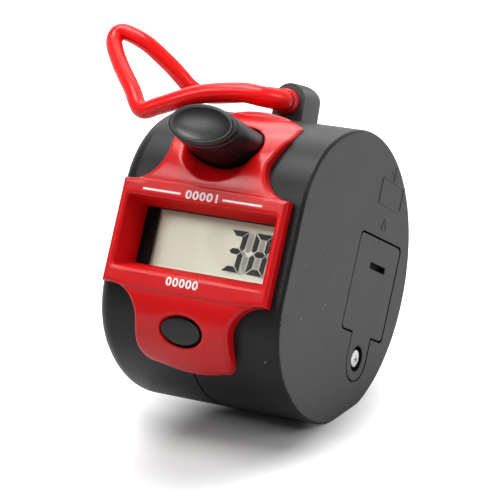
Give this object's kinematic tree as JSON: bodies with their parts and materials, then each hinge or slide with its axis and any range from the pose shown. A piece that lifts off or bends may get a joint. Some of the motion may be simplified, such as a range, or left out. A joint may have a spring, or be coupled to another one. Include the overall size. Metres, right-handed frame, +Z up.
{
  "type": "digital tally counter",
  "caption": "Hand-held digital tally counter with a drum-shaped two-shell case, a red window front, a thumb plunger, a small reset key, a screwed battery door and a swivelling finger loop.",
  "frame": {"origin": "centre of the flat that the drum rests on", "axes": "+Z up, -Y towards the display and the buttons, +X along the drum axis towards the battery door"},
  "size_m": [0.0511, 0.0462, 0.0526],
  "materials": {
    "case_plastic": "fine spark texture",
    "front_plastic": "gloss",
    "lens": "clear",
    "inner_plastic": "matt",
    "display": "polarised",
    "reflector": "satin",
    "silicone": "matt",
    "board": "lacquered",
    "resin": "gloss",
    "can": "satin",
    "ceramic": "satin",
    "steel": "bright",
    "button_plastic": "satin",
    "spring_metal": "nickel plated",
    "loop_vinyl": "gloss"
  },
  "bodies": {
    "base": {"left_shell": "case_plastic", "right_shell": "case_plastic", "front_bezel": "front_plastic", "window_lens": "lens", "lcd_frame": "inner_plastic", "lcd_glass": "display", "lcd_reflector": "reflector", "zebra_strips": "silicone", "main_pcb": "board", "chip_blob": "resin", "quartz_crystal": "can", "smd_parts": "ceramic", "pcb_screws": "steel", "count_spring": "steel", "spring_seat": "inner_plastic", "reset_dome": "silicone", "button_cell": "can", "contact_positive": "spring_metal", "contact_negative": "spring_metal", "case_screws": "steel", "loop_lug": "case_plastic"},
    "count": {"count_button": "button_plastic", "contact_pill": "silicone"},
    "reset": {"reset_button": "button_plastic"},
    "loop": {"finger_loop": "loop_vinyl"},
    "door": {"battery_door": "case_plastic", "door_screw": "steel"}
  },
  "joints": [
    {"name": "count_press", "type": "slide", "parent": "base", "child": "count", "axis": [0, 0.8453, -0.5344], "range_m": [0, 0.0016], "stiffness_N_per_m": 600, "deforming": ["count_spring"]},
    {"name": "reset_press", "type": "slide", "parent": "base", "child": "reset", "axis": [0, 0.8965, -0.4431], "range_m": [0, 0.0008], "stiffness_N_per_m": 1200, "deforming": ["reset_dome"]},
    {"name": "loop_swivel", "type": "hinge", "parent": "base", "child": "loop", "pos_m": [0, 0.01345, 0.04394], "axis": [0, 0.9494, -0.314], "range_deg": [0, 180]},
    {"name": "door_lift", "type": "slide", "parent": "base", "child": "door", "axis": [1, 0, 0], "range_m": [0, 0.01]}
  ]
}
